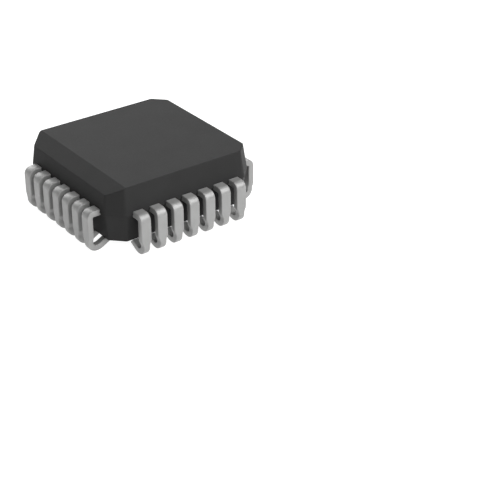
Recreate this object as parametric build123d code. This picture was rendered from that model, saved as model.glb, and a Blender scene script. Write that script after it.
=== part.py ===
from build123d import *
import os
from math import acos, cos, degrees, radians, sin, tan

# Square plastic leaded chip carrier with seven J-bent leads on each side.
# Millimetres. The origin is the centre of the seating plane, +Z is up, and +Y
# points at the side with the long top bevel, which has lead 1 in its middle.

os.makedirs("parts", exist_ok=True)

# Lead pattern
LEADS_PER_SIDE = 7
LEAD_PITCH = 1.27

# Moulded body, drafted both ways from its parting line
BODY_SIDE_MARGIN = 1.95
BODY_BOTTOM = 0.80
PARTING_HEIGHT = 2.80
BODY_TOP = 4.71
BODY_DRAFT = 8.4
LOWER_HALF_INSET = 0.04
CORNER_CHAMFER = 1.05
CORNER_ROUNDING = 0.50
TOP_EDGE_ROUNDING = 0.08
BEVEL_RUN = 1.10
BEVEL_DROP = 0.56

# Lead, bent from strip: arm, elbow, shank, foot and tail
LEAD_THICKNESS = 0.43
LEAD_WIDTH = 0.76
LEAD_OVERHANG = 0.93
ELBOW_INNER_RADIUS = 0.08
FOOT_INNER_RADIUS = 0.25
TAIL_INNER_RADIUS = 0.57
TAIL_ANGLE = 29.0
TAIL_CUT_ANGLE = 21.0
TAIL_CLEARANCE = 0.07
SHOULDER_STEP = 0.14
SHOULDER_RADIUS = 0.60

# Die on its bed of adhesive
DIE_WIDTH = 3.40
DIE_THICKNESS = 0.38
ATTACH_THICKNESS = 0.04
ATTACH_MARGIN = 0.15

# Die paddle, lowered below the fingers, with a tie bar to each corner
PADDLE_MARGIN = 0.70
PADDLE_DOWNSET = 0.30
TIE_BAR_WIDTH = 0.36
TIE_BAR_END_COVER = 0.30

# Inner fingers of the leads, which fan in towards the paddle
FINGER_ROOT_DEPTH = 0.45
FINGER_TIP_WIDTH = 0.42
FINGER_TIP_LENGTH = 0.60
FINGER_TO_PADDLE_GAP = 0.50
FINGER_TO_TIE_BAR_GAP = 0.15

# Bond wires, from the pads on the die to the fingers, each with eight fine flats
WIRE_DIAMETER = 0.033
WIRE_FLAT_COUNT = 8
WIRE_LOOP_HEIGHT = 0.22
PAD_EDGE_MARGIN = 0.14
PAD_CORNER_MARGIN = 0.38
STITCH_MARGIN = 0.18
STITCH_OVERRUN = 0.14

# Sizes that follow from those above
ROW_LENGTH = (LEADS_PER_SIDE - 1) * LEAD_PITCH
BODY_WIDTH = ROW_LENGTH + 2 * BODY_SIDE_MARGIN
LEAD_REACH = BODY_WIDTH / 2 + LEAD_OVERHANG
ELBOW_RADIUS = ELBOW_INNER_RADIUS + LEAD_THICKNESS
FOOT_RADIUS = FOOT_INNER_RADIUS + LEAD_THICKNESS
TAIL_RADIUS = TAIL_INNER_RADIUS + LEAD_THICKNESS
FOOT_WIDTH = LEAD_WIDTH - 2 * SHOULDER_STEP
FRAME_TOP = PARTING_HEIGHT + LEAD_THICKNESS / 2
PADDLE_TOP = FRAME_TOP - PADDLE_DOWNSET
PADDLE_WIDTH = DIE_WIDTH + 2 * PADDLE_MARGIN
ATTACH_TOP = PADDLE_TOP + ATTACH_THICKNESS
DIE_TOP = ATTACH_TOP + DIE_THICKNESS
FINGER_ROOT = BODY_WIDTH / 2 - FINGER_ROOT_DEPTH
FINGER_TIP_REACH = PADDLE_WIDTH / 2 + FINGER_TO_PADDLE_GAP
TIP_ROW_HALF = (
    FINGER_TIP_REACH - FINGER_TIP_WIDTH / 2 - (TIE_BAR_WIDTH / 2 + FINGER_TO_TIE_BAR_GAP) * 2**0.5
)
TIP_PITCH = 2 * TIP_ROW_HALF / (LEADS_PER_SIDE - 1)
PAD_PITCH = (DIE_WIDTH - 2 * PAD_CORNER_MARGIN) / (LEADS_PER_SIDE - 1)

# Turn that takes a lead built along +X to its side of the body, anticlockwise from side 1
SIDE_TURNS = (90, 180, 270, 0)


def half_plan(width):
    """Square plan of one mould half with its four rounded corner chamfers."""
    square = chamfer(Rectangle(width, width).vertices(), CORNER_CHAMFER)
    return fillet(square.vertices(), CORNER_ROUNDING)


def bevel_cut():
    """Wedge that takes the long bevel off the top edge above lead 1."""
    bevel_foot = BODY_TOP - BEVEL_DROP
    wall = BODY_WIDTH / 2 - (bevel_foot - PARTING_HEIGHT) * tan(radians(BODY_DRAFT))
    section = make_face(
        Polyline(
            (wall - BEVEL_RUN, BODY_TOP),
            (wall + BEVEL_RUN, BODY_TOP - 2 * BEVEL_DROP),
            (wall + BEVEL_RUN, BODY_TOP + BEVEL_DROP),
            (wall - BEVEL_RUN, BODY_TOP + BEVEL_DROP),
            close=True,
        )
    )
    return extrude(Plane.YZ * section, BODY_WIDTH, both=True)


def body_blank():
    """Outer form of the moulding, with a ledge between its halves and soft edges on top."""
    upper = extrude(half_plan(BODY_WIDTH), BODY_TOP - PARTING_HEIGHT, taper=BODY_DRAFT)
    lower = extrude(
        half_plan(BODY_WIDTH - 2 * LOWER_HALF_INSET), BODY_BOTTOM - PARTING_HEIGHT, taper=BODY_DRAFT
    )
    sharp = Pos(0, 0, PARTING_HEIGHT) * (upper + lower) - bevel_cut()
    bevel_and_top = sharp.faces().sort_by(Axis.Z)[-2:]
    return fillet(bevel_and_top.edges(), TOP_EDGE_ROUNDING)


def strip_face(depth):
    """Side view of one face of the bent strip, at a depth below the outer one, in two stretches."""
    rise = BODY_BOTTOM - TAIL_CLEARANCE - LEAD_THICKNESS
    toe_rise = TAIL_INNER_RADIUS * (1 - cos(radians(TAIL_ANGLE)))
    inner_tail = (rise - toe_rise) / sin(radians(TAIL_ANGLE))
    tail_length = inner_tail + (LEAD_THICKNESS - depth) * tan(radians(TAIL_CUT_ANGLE))

    arm = Line((FINGER_ROOT, FRAME_TOP - depth), (LEAD_REACH - ELBOW_RADIUS, FRAME_TOP - depth))
    elbow = JernArc(arm @ 1, arm % 1, ELBOW_RADIUS - depth, -90)
    shank = Line(elbow @ 1, (LEAD_REACH - depth, FOOT_RADIUS))
    foot = JernArc(shank @ 1, shank % 1, FOOT_RADIUS - depth, -90)
    toe = JernArc(foot @ 1, foot % 1, TAIL_RADIUS - depth, -TAIL_ANGLE)
    tail = Line(toe @ 1, (toe @ 1) + (toe % 1) * tail_length)
    return [arm, elbow, shank], [foot, toe, tail]


def strip_stretch(outer, inner, width):
    """Stretch of the strip between its outer and its inner face, at a width."""
    root = Line(outer[0] @ 0, inner[0] @ 0)
    tip = Line(outer[-1] @ 1, inner[-1] @ 1)
    return extrude(Plane.XZ * make_face(outer + [tip] + inner + [root]), width / 2, both=True)


def front_outline():
    """Front view above the foot bend as a prism, which widens over two shoulders to full width."""
    turn = degrees(acos(1 - SHOULDER_STEP / (2 * SHOULDER_RADIUS)))
    sides = []
    for side in (1, -1):
        flare = JernArc((side * FOOT_WIDTH / 2, FOOT_RADIUS), (0, 1), SHOULDER_RADIUS, -side * turn)
        settle = JernArc(flare @ 1, flare % 1, SHOULDER_RADIUS, side * turn)
        above = Line(settle @ 1, (side * LEAD_WIDTH / 2, FRAME_TOP))
        sides.append([flare, settle, above])
    bottom = Line(sides[0][0] @ 0, sides[1][0] @ 0)
    top = Line(sides[0][-1] @ 1, sides[1][-1] @ 1)
    outline = make_face(sides[0] + sides[1] + [bottom, top])
    return extrude(Plane.YZ * outline, LEAD_REACH)


def shaped_strip():
    """Lead from the finger root to the slanted tail end, narrow from the foot bend on."""
    outer_shank, outer_foot = strip_face(0)
    inner_shank, inner_foot = strip_face(LEAD_THICKNESS)
    arm_to_shank = strip_stretch(outer_shank, inner_shank, LEAD_WIDTH) & front_outline()
    foot_to_tail = strip_stretch(outer_foot, inner_foot, FOOT_WIDTH)
    return arm_to_shank + foot_to_tail


def finger(place):
    """Inner finger of a lead, by its place counted from the middle of the side."""
    root = place * LEAD_PITCH
    tip = place * TIP_PITCH
    neck_reach = FINGER_TIP_REACH + FINGER_TIP_LENGTH
    plan = make_face(
        Polyline(
            (FINGER_ROOT, root - LEAD_WIDTH / 2),
            (FINGER_ROOT, root + LEAD_WIDTH / 2),
            (neck_reach, tip + FINGER_TIP_WIDTH / 2),
            (FINGER_TIP_REACH, tip + FINGER_TIP_WIDTH / 2),
            (FINGER_TIP_REACH, tip - FINGER_TIP_WIDTH / 2),
            (neck_reach, tip - FINGER_TIP_WIDTH / 2),
            close=True,
        )
    )
    return Pos(0, 0, FRAME_TOP) * extrude(plan, -LEAD_THICKNESS)


def bond_wire(place, lead):
    """Fine wire up from its pad on the die and down to a flush end on its finger."""
    pad = Vector(DIE_WIDTH / 2 - PAD_EDGE_MARGIN, place * PAD_PITCH, DIE_TOP)
    crest = pad + Vector(0, 0, WIRE_LOOP_HEIGHT)
    stitch = Vector(FINGER_TIP_REACH + STITCH_MARGIN, place * TIP_PITCH, FRAME_TOP)
    end = stitch + (stitch - crest).normalized() * STITCH_OVERRUN
    section = Pos(*pad) * RegularPolygon(WIRE_DIAMETER / 2, WIRE_FLAT_COUNT)
    wire = sweep(section, path=Polyline(pad, crest, end), transition=Transition.RIGHT)
    return wire - lead


def die_paddle():
    """Plate under the die, with a tie bar rising towards each corner of the body."""
    plate = Pos(0, 0, PADDLE_TOP) * extrude(Rectangle(PADDLE_WIDTH, PADDLE_WIDTH), -LEAD_THICKNESS)
    plate_corner = PADDLE_WIDTH / 2**0.5
    bar_start = plate_corner - TIE_BAR_WIDTH
    ramp_end = plate_corner + PADDLE_DOWNSET
    bar_end = (BODY_WIDTH - CORNER_CHAMFER) / 2**0.5 - TIE_BAR_END_COVER
    side_view = make_face(
        Polyline(
            (bar_start, PADDLE_TOP),
            (plate_corner, PADDLE_TOP),
            (ramp_end, FRAME_TOP),
            (bar_end, FRAME_TOP),
            (bar_end, FRAME_TOP - LEAD_THICKNESS),
            (ramp_end, FRAME_TOP - LEAD_THICKNESS),
            (plate_corner, PADDLE_TOP - LEAD_THICKNESS),
            (bar_start, PADDLE_TOP - LEAD_THICKNESS),
            close=True,
        )
    )
    tie_bar = extrude(Plane.XZ * side_view, TIE_BAR_WIDTH / 2, both=True)
    for turn in SIDE_TURNS:
        plate += Rot(0, 0, turn + 45) * tie_bar
    return plate


def lead_places():
    """Turn and place of every lead, anticlockwise from the middle of the bevelled side."""
    places = [index - (LEADS_PER_SIDE - 1) / 2 for index in range(LEADS_PER_SIDE)]
    ring = [(turn, place) for turn in SIDE_TURNS for place in places]
    first = LEADS_PER_SIDE // 2
    return ring[first:] + ring[:first]


attach_width = DIE_WIDTH + 2 * ATTACH_MARGIN
frame_and_die = {
    "die_paddle": die_paddle(),
    "die_attach": Pos(0, 0, PADDLE_TOP) * extrude(Rectangle(attach_width, attach_width), ATTACH_THICKNESS),
    "silicon_die": Pos(0, 0, ATTACH_TOP) * extrude(Rectangle(DIE_WIDTH, DIE_WIDTH), DIE_THICKNESS),
}

strip = shaped_strip()
for number, (turn, place) in enumerate(lead_places(), start=1):
    lead = Pos(0, place * LEAD_PITCH, 0) * strip + finger(place)
    wire = bond_wire(place, lead)
    frame_and_die[f"lead_{number:02d}"] = Rot(0, 0, turn) * lead
    frame_and_die[f"bond_wire_{number:02d}"] = Rot(0, 0, turn) * wire

mould_body = body_blank() - list(frame_and_die.values())

for name, piece in {"mould_body": mould_body, **frame_and_die}.items():
    export_step(piece, f"parts/{name}.step")
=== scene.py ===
"""Looks of a plastic leaded chip carrier: its black body, tin-plated J-leads and inner parts."""

from math import pi, radians

import bpy
from bpy.props import FloatProperty, FloatVectorProperty, IntProperty, PointerProperty
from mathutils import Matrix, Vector


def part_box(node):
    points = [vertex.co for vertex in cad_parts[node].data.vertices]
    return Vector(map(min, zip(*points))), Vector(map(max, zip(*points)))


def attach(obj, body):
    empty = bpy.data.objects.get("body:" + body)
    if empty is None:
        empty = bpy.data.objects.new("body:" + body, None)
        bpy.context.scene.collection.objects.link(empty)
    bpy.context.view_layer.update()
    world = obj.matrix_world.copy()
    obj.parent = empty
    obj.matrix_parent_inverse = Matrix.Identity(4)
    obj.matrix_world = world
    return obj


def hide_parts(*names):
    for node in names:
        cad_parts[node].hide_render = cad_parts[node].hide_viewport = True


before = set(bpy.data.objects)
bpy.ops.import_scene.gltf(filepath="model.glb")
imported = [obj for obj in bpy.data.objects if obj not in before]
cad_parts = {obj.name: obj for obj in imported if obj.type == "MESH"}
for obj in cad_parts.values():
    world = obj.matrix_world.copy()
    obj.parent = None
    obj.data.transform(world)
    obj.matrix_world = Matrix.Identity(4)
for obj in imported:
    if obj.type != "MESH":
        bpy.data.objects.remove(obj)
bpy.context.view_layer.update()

bl_info = {
    "name": "Chip Carrier Looks",
    "version": (1, 0, 0),
    "blender": (4, 5, 0),
    "location": "View3D > Sidebar > Chip Carrier",
    "description": "Finishes the pieces of a plastic leaded chip carrier and sets its stage",
    "category": "Object",
}

# Azimuth and elevation of each softbox in degrees, its width in metres and its share of the light.
# Azimuth 0 lies towards -Y, behind the chip, and grows anticlockwise seen from above.
SOFTBOXES = {
    "overhead softbox": (-90, 75, 1.2, 0.40),
    "left softbox": (-90, 25, 0.9, 0.65),
    "rear left softbox": (-43, 46, 1.0, 1.15),
    "right softbox": (90, 25, 0.9, 0.63),
    "rim softbox": (53, 30, 0.9, 0.40),
    "front right softbox": (135, 12, 0.5, 0.06),
}

# Triangles of one flat face of the CAD lie within this angle of each other
FLAT_ANGLE = radians(0.5)
# Corners of neighbouring triangles that are this close, in metres, are one corner
SAME_POINT = 5e-8
# Faces that meet at less than this angle are shaded as one curved surface
SMOOTH_ANGLE = radians(38)
# Edges of the strip that turn by more than this angle are rounded
EDGE_ANGLE = radians(50)

WHITE = (1, 1, 1, 1)
# Nearly all values of a noise lie between these two
NOISE_LOW = 0.3
NOISE_HIGH = 0.7
# The lines on bare metal are this many times as long as they are wide
LINE_STRETCH = 12
# Brightness of the two kinds of block on the die and of the edges between, against its colour
CELL_TONES = {"Color1": 1.0, "Color2": 1.5, "Mortar": 0.5}
# Width of those edges, as a share of a block
CELL_EDGE = 0.04
# Width in metres of the patches of tone on the floor, and how far their colours differ
FLOOR_PATCH = 0.05
FLOOR_MOTTLE = 0.003
# The camera sees from this share of its distance on
CLIP_SHARE = 0.1


class MouldCompound(bpy.types.PropertyGroup):
    """Black epoxy compound of the body"""

    colour: FloatVectorProperty(
        name="Colour", description="Colour of the compound", subtype="COLOR",
        min=0, max=1, default=(0.024, 0.024, 0.024),
    )
    mottle: FloatProperty(
        name="Mottle", description="Share by which the colour varies across the body",
        subtype="FACTOR", min=0, max=1, default=0.06,
    )
    mottle_width: FloatProperty(
        name="Mottle width", description="Width of the patches of one tone",
        unit="LENGTH", precision=6, min=1e-6, default=0.0022,
    )
    grain_width: FloatProperty(
        name="Grain width", description="Width of the grain that the mould leaves",
        unit="LENGTH", precision=6, min=1e-6, default=0.00006,
    )
    grain_depth: FloatProperty(
        name="Grain depth", description="Depth of that grain",
        unit="LENGTH", precision=6, min=0, default=0.0000015,
    )
    roughness: FloatProperty(
        name="Roughness", description="How dull the surface is",
        subtype="FACTOR", min=0, max=1, default=0.55,
    )
    roughness_swing: FloatProperty(
        name="Roughness swing", description="How far the grain moves the roughness up and down",
        subtype="FACTOR", min=0, max=1, default=0.04,
    )
    gloss: FloatProperty(
        name="Gloss", description="Strength of the surface's reflections",
        subtype="FACTOR", min=0, max=1, default=0.072,
    )


class TinPlate(bpy.types.PropertyGroup):
    """Matte tin plate on the bent leads"""

    colour: FloatVectorProperty(
        name="Colour", description="Colour of the plate", subtype="COLOR",
        min=0, max=1, default=(0.255, 0.255, 0.252),
    )
    mottle: FloatProperty(
        name="Mottle", description="Share by which the colour varies along the plate",
        subtype="FACTOR", min=0, max=1, default=0.06,
    )
    mottle_width: FloatProperty(
        name="Mottle width", description="Width of the patches of one tone",
        unit="LENGTH", precision=6, min=1e-6, default=0.0011,
    )
    metal_share: FloatProperty(
        name="Metal share", description="Share of mirror-like metal in the matte plate",
        subtype="FACTOR", min=0, max=1, default=0.25,
    )
    edge_radius: FloatProperty(
        name="Edge radius", description="Rounding of the long edges of the strip",
        unit="LENGTH", precision=6, min=0, default=0.00006,
    )
    edge_steps: IntProperty(
        name="Edge steps", description="Faces across each rounded edge",
        min=1, max=6, default=3,
    )
    line_width: FloatProperty(
        name="Line width", description="Width of the fine rolling lines along the strip",
        unit="LENGTH", precision=6, min=1e-6, default=0.00007,
    )
    line_length: FloatProperty(
        name="Line length", description="Length of the rolling lines",
        unit="LENGTH", precision=6, min=1e-6, default=0.0015,
    )
    line_depth: FloatProperty(
        name="Line depth", description="Depth of the rolling lines",
        unit="LENGTH", precision=6, min=0, default=0.0000005,
    )
    roughness: FloatProperty(
        name="Roughness", description="How dull the plate is",
        subtype="FACTOR", min=0, max=1, default=0.38,
    )
    roughness_swing: FloatProperty(
        name="Roughness swing", description="How far the lines move the roughness up and down",
        subtype="FACTOR", min=0, max=1, default=0.06,
    )


class InnerParts(bpy.types.PropertyGroup):
    """Finishes of the parts sealed inside the body"""

    copper_colour: FloatVectorProperty(
        name="Copper", description="Colour of the bare copper alloy of the paddle", subtype="COLOR",
        min=0, max=1, default=(0.72, 0.38, 0.24),
    )
    copper_roughness: FloatProperty(
        name="Copper roughness", description="How dull the copper alloy is",
        subtype="FACTOR", min=0, max=1, default=0.35,
    )
    copper_line_width: FloatProperty(
        name="Copper line width", description="Width of the rolling lines on the copper alloy",
        unit="LENGTH", precision=6, min=1e-6, default=0.00004,
    )
    gold_colour: FloatVectorProperty(
        name="Gold", description="Colour of the bond wires", subtype="COLOR",
        min=0, max=1, default=(0.86, 0.60, 0.24),
    )
    gold_roughness: FloatProperty(
        name="Gold roughness", description="How dull the bond wires are",
        subtype="FACTOR", min=0, max=1, default=0.2,
    )
    gold_line_width: FloatProperty(
        name="Gold line width", description="Width of the drawing lines on the bond wires",
        unit="LENGTH", precision=6, min=1e-6, default=0.00001,
    )
    adhesive_colour: FloatVectorProperty(
        name="Adhesive", description="Colour of the silver-filled adhesive", subtype="COLOR",
        min=0, max=1, default=(0.42, 0.42, 0.40),
    )
    adhesive_roughness: FloatProperty(
        name="Adhesive roughness", description="How dull the adhesive is",
        subtype="FACTOR", min=0, max=1, default=0.475,
    )
    flake_width: FloatProperty(
        name="Flake width", description="Width of the silver flakes in the adhesive",
        unit="LENGTH", precision=6, min=1e-6, default=0.00003,
    )
    silicon_colour: FloatVectorProperty(
        name="Silicon", description="Colour of the face of the die", subtype="COLOR",
        min=0, max=1, default=(0.13, 0.14, 0.19),
    )
    silicon_roughness: FloatProperty(
        name="Silicon roughness", description="How dull the die is",
        subtype="FACTOR", min=0, max=1, default=0.12,
    )
    silicon_metal_share: FloatProperty(
        name="Silicon metal share", description="Share of mirror-like metal on the die",
        subtype="FACTOR", min=0, max=1, default=0.4,
    )
    cell_width: FloatProperty(
        name="Cell width", description="Width of the blocks of circuit on the die",
        unit="LENGTH", precision=6, min=1e-6, default=0.00028,
    )


class Stage(bpy.types.PropertyGroup):
    """Floor, lights and camera"""

    floor_width: FloatProperty(
        name="Floor width", description="Side of the square floor",
        unit="LENGTH", min=0.1, default=6.0,
    )
    floor_colour: FloatVectorProperty(
        name="Floor colour", description="Colour of the floor", subtype="COLOR",
        min=0, max=1, default=(0.3, 0.3, 0.3),
    )
    floor_glow: FloatProperty(
        name="Floor glow", description="Light that the floor gives off, as a light table does",
        min=0, default=0.96,
    )
    fill: FloatProperty(
        name="Fill light", description="Light that the white surroundings throw on the object",
        min=0, default=0.06,
    )
    light_power: FloatProperty(
        name="Light power", description="Power of a softbox whose share is 1",
        unit="POWER", min=0, default=12.0,
    )
    light_distance: FloatProperty(
        name="Light distance", description="Distance of the softboxes from the object",
        unit="LENGTH", min=0.01, default=1.2,
    )
    camera_aim: FloatVectorProperty(
        name="Camera aim", description="Point of the floor in the middle of the picture",
        subtype="XYZ_LENGTH", precision=5, default=(-0.00998, -0.00203, 0.0),
    )
    camera_azimuth: FloatProperty(
        name="Camera azimuth", description="Turn of the viewing direction from +Y towards -X",
        subtype="ANGLE", default=radians(-126.83),
    )
    camera_elevation: FloatProperty(
        name="Camera elevation", description="Height of the camera above the horizon",
        subtype="ANGLE", default=radians(29.93),
    )
    camera_distance: FloatProperty(
        name="Camera distance", description="Distance of the camera from its aim",
        unit="LENGTH", precision=5, min=0.001, default=0.08932,
    )
    camera_lens: FloatProperty(
        name="Camera lens", description="Focal length, on a sensor 36 mm wide",
        unit="CAMERA", min=1, default=98.09,
    )


def new_material(name):
    """Empty node material, as its node tree and the shader that its surface comes from."""
    material = bpy.data.materials.new(name)
    material.use_nodes = True
    return material, material.node_tree, material.node_tree.nodes["Principled BSDF"]


def pattern(tree, kind, widths, turn=0.0):
    """Texture node on object coordinates whose features are as wide as widths, in metres."""
    place = tree.nodes.new("ShaderNodeTexCoord")
    mapping = tree.nodes.new("ShaderNodeMapping")
    mapping.inputs["Rotation"].default_value = (0, 0, turn)
    mapping.inputs["Scale"].default_value = [1 / width for width in widths]
    texture = tree.nodes.new(kind)
    texture.inputs["Scale"].default_value = 1.0
    tree.links.new(place.outputs["Object"], mapping.inputs["Vector"])
    tree.links.new(mapping.outputs["Vector"], texture.inputs["Vector"])
    return texture


def noise(tree, widths, detail, turn=0.0):
    """Output of a soft noise, with finer noise on it the higher its detail."""
    texture = pattern(tree, "ShaderNodeTexNoise", widths, turn)
    texture.inputs["Detail"].default_value = detail
    return texture.outputs["Fac"]


def spread(tree, value, low, high):
    """Maps the values that a noise takes onto the range from low to high."""
    ramp = tree.nodes.new("ShaderNodeMapRange")
    ramp.inputs["From Min"].default_value = NOISE_LOW
    ramp.inputs["From Max"].default_value = NOISE_HIGH
    ramp.inputs["To Min"].default_value = low
    ramp.inputs["To Max"].default_value = high
    tree.links.new(value, ramp.inputs["Value"])
    return ramp.outputs["Result"]


def toned(colour, tone):
    """Colour made darker or lighter, as a node's socket takes it."""
    return [min(1, channel * tone) for channel in colour] + [1]


def tint(tree, shader, value, colour, share):
    """Gives the surface a colour that a noise makes darker and lighter by a share."""
    blend = tree.nodes.new("ShaderNodeMix")
    blend.data_type = "RGBA"
    blend.inputs["A"].default_value = toned(colour, 1 - share)
    blend.inputs["B"].default_value = toned(colour, 1 + share)
    tree.links.new(spread(tree, value, 0, 1), blend.inputs["Factor"])
    tree.links.new(blend.outputs["Result"], shader.inputs["Base Color"])


def dull(tree, shader, value, roughness, swing):
    """Gives the surface a roughness that a noise moves up and down by a swing."""
    dullness = spread(tree, value, roughness - swing, roughness + swing)
    tree.links.new(dullness, shader.inputs["Roughness"])


def relief(tree, shader, height, depth):
    """Bumps as deep as depth, in metres, on the shader's surface."""
    bump = tree.nodes.new("ShaderNodeBump")
    bump.inputs["Distance"].default_value = depth
    tree.links.new(height, bump.inputs["Height"])
    tree.links.new(bump.outputs["Normal"], shader.inputs["Normal"])


def mould_compound(finish):
    """Matte black compound with a fine mould grain and a faint mottle."""
    material, tree, shader = new_material("mould compound")
    patches = noise(tree, [finish.mottle_width] * 3, detail=4)
    grain = noise(tree, [finish.grain_width] * 3, detail=3)
    tint(tree, shader, patches, finish.colour, finish.mottle)
    dull(tree, shader, grain, finish.roughness, finish.roughness_swing)
    shader.inputs["Specular IOR Level"].default_value = finish.gloss
    relief(tree, shader, grain, finish.grain_depth)
    return material


def tin_plate(name, finish, turn):
    """Matte tin with rolling lines along the strip, whose width lies along Y before the turn."""
    material, tree, shader = new_material(name)
    patches = noise(tree, [finish.mottle_width] * 3, detail=3)
    widths = [finish.line_length, finish.line_width, finish.line_length]
    lines = noise(tree, widths, detail=2, turn=turn)
    tint(tree, shader, patches, finish.colour, finish.mottle)
    dull(tree, shader, lines, finish.roughness, finish.roughness_swing)
    shader.inputs["Metallic"].default_value = finish.metal_share
    relief(tree, shader, lines, finish.line_depth)
    return material


def bare_metal(name, colour, roughness, line_width):
    """Bare metal with fine lines and a slight unevenness of tone."""
    material, tree, shader = new_material(name)
    line_length = line_width * LINE_STRETCH
    lines = noise(tree, [line_length, line_width, line_length], detail=2)
    tint(tree, shader, lines, colour, share=0.08)
    dull(tree, shader, lines, roughness, swing=0.05)
    shader.inputs["Metallic"].default_value = 1.0
    return material


def silver_adhesive(finish):
    """Grey adhesive with silver flakes."""
    material, tree, shader = new_material("silver adhesive")
    flakes = pattern(tree, "ShaderNodeTexVoronoi", [finish.flake_width] * 3).outputs["Distance"]
    tint(tree, shader, flakes, finish.adhesive_colour, share=0.3)
    dull(tree, shader, flakes, finish.adhesive_roughness, swing=0.125)
    return material


def polished_silicon(finish):
    """Glossy die with faint blocks of circuit on it."""
    material, tree, shader = new_material("silicon")
    cells = pattern(tree, "ShaderNodeTexBrick", [finish.cell_width] * 3)
    cells.inputs["Mortar Size"].default_value = CELL_EDGE
    for socket, tone in CELL_TONES.items():
        cells.inputs[socket].default_value = toned(finish.silicon_colour, tone)
    tree.links.new(cells.outputs["Color"], shader.inputs["Base Color"])
    shader.inputs["Metallic"].default_value = finish.silicon_metal_share
    shader.inputs["Roughness"].default_value = finish.silicon_roughness
    return material


def paper_floor(colour, glow):
    """Pale matte floor with a trace of unevenness, lit a little from below."""
    material, tree, shader = new_material("pale floor")
    patches = noise(tree, [FLOOR_PATCH] * 3, detail=2)
    tint(tree, shader, patches, colour, FLOOR_MOTTLE)
    shader.inputs["Specular IOR Level"].default_value = 0.0
    shader.inputs["Roughness"].default_value = 1.0
    shader.inputs["Emission Color"].default_value = WHITE
    shader.inputs["Emission Strength"].default_value = glow
    return material


def white_surroundings(fill):
    """World that is white beyond the floor's edge, and throws a little light into the shades."""
    world = bpy.data.worlds.new("surroundings")
    world.use_nodes = True
    tree = world.node_tree
    background = tree.nodes["Background"]
    background.inputs["Color"].default_value = WHITE
    path = tree.nodes.new("ShaderNodeLightPath")
    brightness = tree.nodes.new("ShaderNodeMapRange")
    brightness.inputs["To Min"].default_value = fill
    brightness.inputs["To Max"].default_value = 1.0
    tree.links.new(path.outputs["Is Camera Ray"], brightness.inputs["Value"])
    tree.links.new(brightness.outputs["Result"], background.inputs["Strength"])
    return world


def nodes_called(start):
    """Names of the CAD nodes that begin alike, in order."""
    names = sorted(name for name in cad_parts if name.startswith(start))
    if not names:
        raise RuntimeError(f"the frame has no node whose name begins with {start}")
    return names


def select_only(piece):
    """Makes a piece the only one selected, and active."""
    bpy.ops.object.select_all(action="DESELECT")
    piece.select_set(True)
    bpy.context.view_layer.objects.active = piece


def whole_copy(node, name):
    """Selected copy of a CAD node, its loose triangles merged and its flat faces made whole."""
    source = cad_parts[node]
    piece = bpy.data.objects.new(name, source.data.copy())
    piece.data.materials.clear()
    bpy.context.scene.collection.objects.link(piece)
    select_only(piece)
    bpy.ops.mesh.customdata_custom_splitnormals_clear()
    bpy.ops.object.mode_set(mode="EDIT")
    bpy.ops.mesh.select_all(action="SELECT")
    bpy.ops.mesh.remove_doubles(threshold=SAME_POINT)
    bpy.ops.mesh.dissolve_limited(angle_limit=FLAT_ANGLE)
    bpy.ops.object.mode_set(mode="OBJECT")
    return piece


def apply_modifier(piece, kind, **settings):
    """Adds a modifier to the selected piece and applies it."""
    modifier = piece.modifiers.new(kind.title(), kind)
    for name, value in settings.items():
        setattr(modifier, name, value)
    bpy.ops.object.modifier_apply(modifier=modifier.name)


def smooth_shading(piece):
    """Shades the selected piece's bends and roundings as curved, and keeps its flats flat."""
    bpy.ops.object.shade_smooth_by_angle(angle=SMOOTH_ANGLE)
    apply_modifier(piece, "WEIGHTED_NORMAL", keep_sharp=True)


def stand_for(piece, node, material):
    """Gives a finished piece its material in a slot and its body, and hides the CAD node that it
    stands for.
    """
    piece.data.materials.append(material)
    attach(piece, "root")
    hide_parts(node)


def dress(nodes, material):
    """Gives CAD nodes that keep their shape a better material."""
    for node in nodes:
        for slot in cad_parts[node].material_slots:
            slot.material = material


def aim(looker, azimuth, elevation, target, distance):
    """Sets a camera or light at a distance from its target, and turns it there."""
    looker.rotation_euler = (pi / 2 - elevation, 0, azimuth)
    back = looker.rotation_euler.to_matrix() @ Vector((0, 0, distance))
    looker.location = target + back


def lay_floor(stage):
    """Square of pale floor under the object, and no part of it."""
    bpy.ops.object.select_all(action="DESELECT")
    bpy.ops.mesh.primitive_plane_add(size=stage.floor_width)
    floor = bpy.context.active_object
    floor.name = "floor"
    floor.data.materials.append(paper_floor(stage.floor_colour, stage.floor_glow))


def hang_softboxes(stage):
    """Square lights round the object, all at one distance."""
    for name, (azimuth, elevation, width, share) in SOFTBOXES.items():
        bpy.ops.object.light_add(type="AREA")
        softbox = bpy.context.active_object
        softbox.name = name
        softbox.data.energy = stage.light_power * share
        softbox.data.size = width
        aim(softbox, radians(azimuth), radians(elevation), Vector(), stage.light_distance)


def set_camera(stage):
    """Camera at the viewing angle of the picture."""
    bpy.ops.object.camera_add()
    camera = bpy.context.active_object
    camera.name = "camera"
    camera.data.lens = stage.camera_lens
    camera.data.clip_start = stage.camera_distance * CLIP_SHARE
    target = Vector(stage.camera_aim)
    aim(camera, stage.camera_azimuth, stage.camera_elevation, target, stage.camera_distance)
    bpy.context.scene.camera = camera


class CHIP_OT_mould_body(bpy.types.Operator):
    """Finish the moulded body in matte black compound"""

    bl_idname = "chip.mould_body"
    bl_label = "Mould Body"

    def execute(self, context):
        body = whole_copy("mould_body", "moulded_body")
        smooth_shading(body)
        compound = mould_compound(context.scene.chip_mould)
        stand_for(body, "mould_body", compound)
        return {"FINISHED"}


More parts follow.
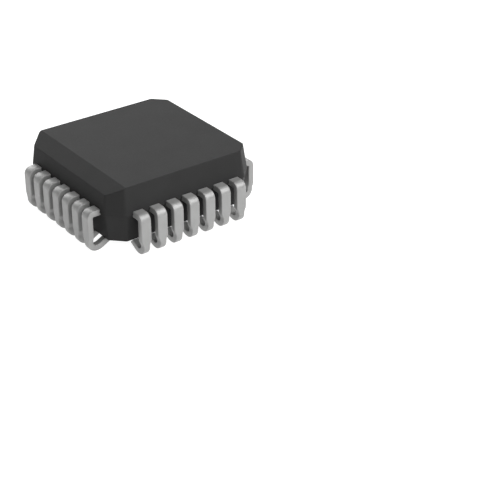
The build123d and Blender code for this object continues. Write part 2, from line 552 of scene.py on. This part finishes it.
class CHIP_OT_leads(bpy.types.Operator):
    """Round the edges of the bent leads and plate them with tin"""

    bl_idname = "chip.leads"
    bl_label = "Leads"

    def execute(self, context):
        finish = context.scene.chip_tin
        along_x = tin_plate("tin plate along x", finish, turn=0)
        along_y = tin_plate("tin plate along y", finish, turn=pi / 2)
        for node in nodes_called("lead_"):
            lead = whole_copy(node, node.replace("lead", "plated_lead"))
            apply_modifier(
                lead, "BEVEL", width=finish.edge_radius, segments=finish.edge_steps,
                limit_method="ANGLE", angle_limit=EDGE_ANGLE,
            )
            smooth_shading(lead)
            low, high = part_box(node)
            middle = (low + high) / 2
            plate = along_x if abs(middle.x) > abs(middle.y) else along_y
            stand_for(lead, node, plate)
        return {"FINISHED"}


class CHIP_OT_inner_parts(bpy.types.Operator):
    """Finish the paddle, the adhesive and the die"""

    bl_idname = "chip.inner_parts"
    bl_label = "Inner Parts"

    def execute(self, context):
        finish = context.scene.chip_inner
        copper = bare_metal(
            "copper alloy", finish.copper_colour, finish.copper_roughness, finish.copper_line_width,
        )
        dress(["die_paddle"], copper)
        dress(["die_attach"], silver_adhesive(finish))
        dress(["silicon_die"], polished_silicon(finish))
        return {"FINISHED"}


class CHIP_OT_bond_wires(bpy.types.Operator):
    """Finish the bond wires in gold"""

    bl_idname = "chip.bond_wires"
    bl_label = "Bond Wires"

    def execute(self, context):
        finish = context.scene.chip_inner
        gold = bare_metal(
            "gold wire", finish.gold_colour, finish.gold_roughness, finish.gold_line_width,
        )
        dress(nodes_called("bond_wire_"), gold)
        return {"FINISHED"}


class CHIP_OT_stage(bpy.types.Operator):
    """Set the pale floor, the soft lights and the camera"""

    bl_idname = "chip.stage"
    bl_label = "Stage"

    def execute(self, context):
        stage = context.scene.chip_stage
        lay_floor(stage)
        hang_softboxes(stage)
        set_camera(stage)
        context.scene.world = white_surroundings(stage.fill)
        context.scene.view_settings.view_transform = "Standard"
        return {"FINISHED"}


class CHIP_PT_looks(bpy.types.Panel):
    """Sizes, colours and steps of the chip carrier's looks"""

    bl_idname = "CHIP_PT_looks"
    bl_label = "Chip Carrier"
    bl_space_type = "VIEW_3D"
    bl_region_type = "UI"
    bl_category = "Chip Carrier"

    def draw(self, context):
        for name, (group, *operators) in STEPS.items():
            box = self.layout.box()
            for setting in group.__annotations__:
                box.prop(getattr(context.scene, name), setting)
            for operator in operators:
                box.operator(operator.bl_idname)


# Each group of settings by its name in the scene, and the operators that read it, in their order
STEPS = {
    "chip_mould": (MouldCompound, CHIP_OT_mould_body),
    "chip_tin": (TinPlate, CHIP_OT_leads),
    "chip_inner": (InnerParts, CHIP_OT_inner_parts, CHIP_OT_bond_wires),
    "chip_stage": (Stage, CHIP_OT_stage),
}


def register():
    """Makes the settings, the operators and the panel known to Blender."""
    for name, (group, *operators) in STEPS.items():
        for kind in (group, *operators):
            bpy.utils.register_class(kind)
        setattr(bpy.types.Scene, name, PointerProperty(type=group))
    bpy.utils.register_class(CHIP_PT_looks)


def unregister():
    """Takes the panel, the operators and the settings out again."""
    bpy.utils.unregister_class(CHIP_PT_looks)
    for name, (group, *operators) in STEPS.items():
        delattr(bpy.types.Scene, name)
        for kind in (*operators, group):
            bpy.utils.unregister_class(kind)


def main():
    """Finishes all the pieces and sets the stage."""
    register()
    bpy.ops.chip.mould_body()
    bpy.ops.chip.leads()
    bpy.ops.chip.inner_parts()
    bpy.ops.chip.bond_wires()
    bpy.ops.chip.stage()


if __name__ == "__main__":
    main()
